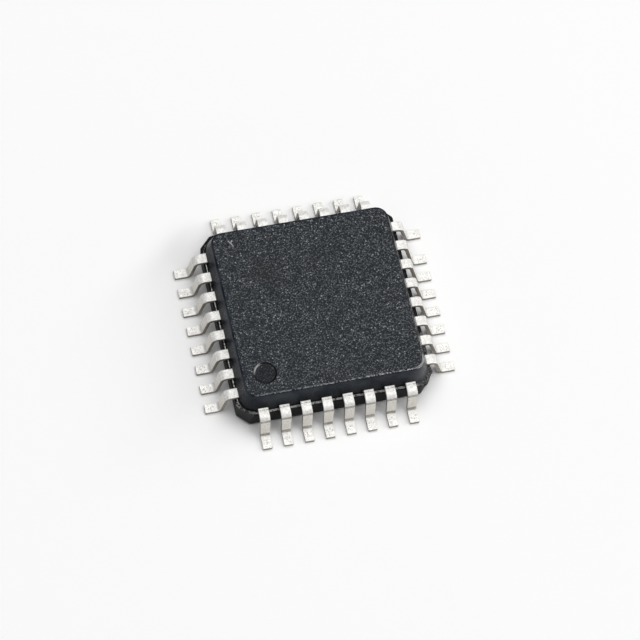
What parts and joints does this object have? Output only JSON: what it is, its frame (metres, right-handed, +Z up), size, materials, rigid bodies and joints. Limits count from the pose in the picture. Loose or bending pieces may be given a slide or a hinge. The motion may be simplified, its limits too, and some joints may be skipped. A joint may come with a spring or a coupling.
{
  "type": "surface-mount driver chip",
  "caption": "Square moulded driver chip in a quad flat pack, with gull-wing leads on all four sides for soldering to a circuit board and a round dimple by the first lead.",
  "frame": {"origin": "centre of the seating plane under the lead feet", "axes": "+Z up out of the top face, -Y towards the row of leads 1 to 8, with lead 1 and the dimple at the -X -Y corner"},
  "size_m": [0.0096, 0.0096, 0.0019],
  "materials": {
    "mould_compound": "fine-grained matte top, satin moulded walls",
    "tin_plated_lead": "matte tin plating, slightly mottled",
    "copper_frame": "bare stamped copper alloy",
    "silver_adhesive": "cured silver-filled adhesive",
    "silicon": "polished",
    "gold_wire": "drawn gold"
  },
  "bodies": {
    "root": {"package_body": "mould_compound", "die_pad": "copper_frame", "die_attach": "silver_adhesive", "silicon_die": "silicon", "bond_wires": "gold_wire", "lead_01": "tin_plated_lead", "lead_02": "tin_plated_lead", "lead_03": "tin_plated_lead", "lead_04": "tin_plated_lead", "lead_05": "tin_plated_lead", "lead_06": "tin_plated_lead", "lead_07": "tin_plated_lead", "lead_08": "tin_plated_lead", "lead_09": "tin_plated_lead", "lead_10": "tin_plated_lead", "lead_11": "tin_plated_lead", "lead_12": "tin_plated_lead", "lead_13": "tin_plated_lead", "lead_14": "tin_plated_lead", "lead_15": "tin_plated_lead", "lead_16": "tin_plated_lead", "lead_17": "tin_plated_lead", "lead_18": "tin_plated_lead", "lead_19": "tin_plated_lead", "lead_20": "tin_plated_lead", "lead_21": "tin_plated_lead", "lead_22": "tin_plated_lead", "lead_23": "tin_plated_lead", "lead_24": "tin_plated_lead", "lead_25": "tin_plated_lead", "lead_26": "tin_plated_lead", "lead_27": "tin_plated_lead", "lead_28": "tin_plated_lead", "lead_29": "tin_plated_lead", "lead_30": "tin_plated_lead", "lead_31": "tin_plated_lead", "lead_32": "tin_plated_lead"}
  },
  "joints": []
}
